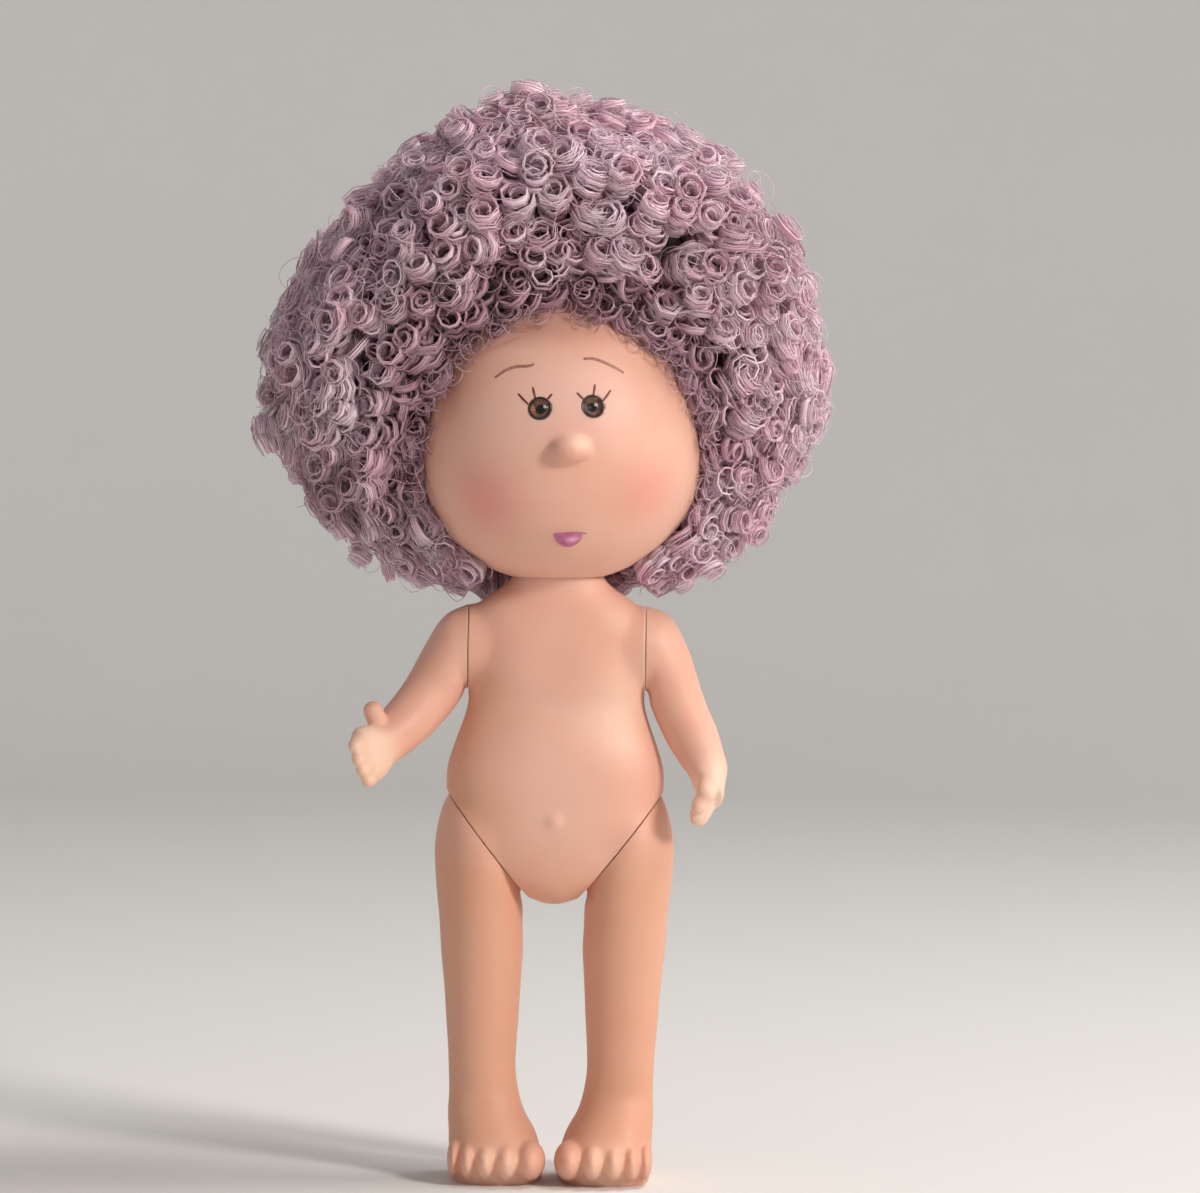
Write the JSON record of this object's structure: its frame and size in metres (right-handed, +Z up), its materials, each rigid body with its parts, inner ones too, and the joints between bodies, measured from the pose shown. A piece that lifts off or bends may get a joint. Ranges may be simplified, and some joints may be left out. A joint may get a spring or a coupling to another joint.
{
  "type": "ball jointed doll",
  "caption": "Standing vinyl play doll with moving head, arms and legs, inset domed eyes and a rooted ball of tight mauve curls.",
  "frame": {"origin": "on the ground under the middle of the outer box of the standing doll with its arms as at rest", "axes": "+Z up, the face and the toes towards -Y, the doll's left side towards +X"},
  "size_m": [0.1518, 0.1144, 0.2989],
  "materials": {
    "skin_vinyl": "soft satin vinyl, peach skin colour with a light blush",
    "eye_plastic": "polished near-black eye cup",
    "iris_paint": "painted brown-grey iris with a black pupil",
    "eye_dome": "clear polished dome",
    "hair_fibre": "fine mauve nylon fibre in tight short ringlets"
  },
  "bodies": {
    "torso": {"torso": "skin_vinyl"},
    "head": {"head": "skin_vinyl", "eye_cup_left": "eye_plastic", "iris_left": "iris_paint", "eye_dome_left": "eye_dome", "eye_cup_right": "eye_plastic", "iris_right": "iris_paint", "eye_dome_right": "eye_dome", "hair_low_left": "hair_fibre", "hair_nape_left": "hair_fibre", "hair_nape_right": "hair_fibre", "hair_low_right": "hair_fibre", "hair_side_left": "hair_fibre", "hair_back_left": "hair_fibre", "hair_back_right": "hair_fibre", "hair_side_right": "hair_fibre", "hair_temple_left": "hair_fibre", "hair_upper_left": "hair_fibre", "hair_upper_back": "hair_fibre", "hair_upper_right": "hair_fibre", "hair_temple_right": "hair_fibre", "hair_fringe": "hair_fibre", "hair_crown_left": "hair_fibre", "hair_crown_right": "hair_fibre"},
    "arm_right": {"arm_right": "skin_vinyl"},
    "arm_left": {"arm_left": "skin_vinyl"},
    "leg_right": {"leg_right": "skin_vinyl"},
    "leg_left": {"leg_left": "skin_vinyl"}
  },
  "joints": [
    {"name": "neck_turn", "type": "hinge", "parent": "torso", "child": "head", "pos_m": [0.0039, -0.0147, 0.1686], "axis": [0, 0, 1], "continuous": true},
    {"name": "shoulder_left", "type": "hinge", "parent": "torso", "child": "arm_left", "pos_m": [0.02809, -0.0147, 0.147], "axis": [-1, 0, 0], "range_deg": [-150, 135], "deforming": ["hair_low_left", "hair_nape_left", "hair_nape_right", "hair_low_right", "hair_side_left", "hair_side_right"]},
    {"name": "shoulder_right", "type": "hinge", "parent": "torso", "child": "arm_right", "pos_m": [-0.02031, -0.0147, 0.147], "axis": [-1, 0, 0], "range_deg": [-150, 135], "deforming": ["hair_low_left", "hair_nape_left", "hair_nape_right", "hair_low_right", "hair_side_left", "hair_side_right"]},
    {"name": "hip_left", "type": "hinge", "parent": "torso", "child": "leg_left", "pos_m": [0.02279, -0.0147, 0.0938], "axis": [-0.788, 0, 0.6157], "range_deg": [-75, 90]},
    {"name": "hip_right", "type": "hinge", "parent": "torso", "child": "leg_right", "pos_m": [-0.015, -0.0147, 0.0938], "axis": [-0.788, 0, -0.6157], "range_deg": [-75, 90]}
  ]
}
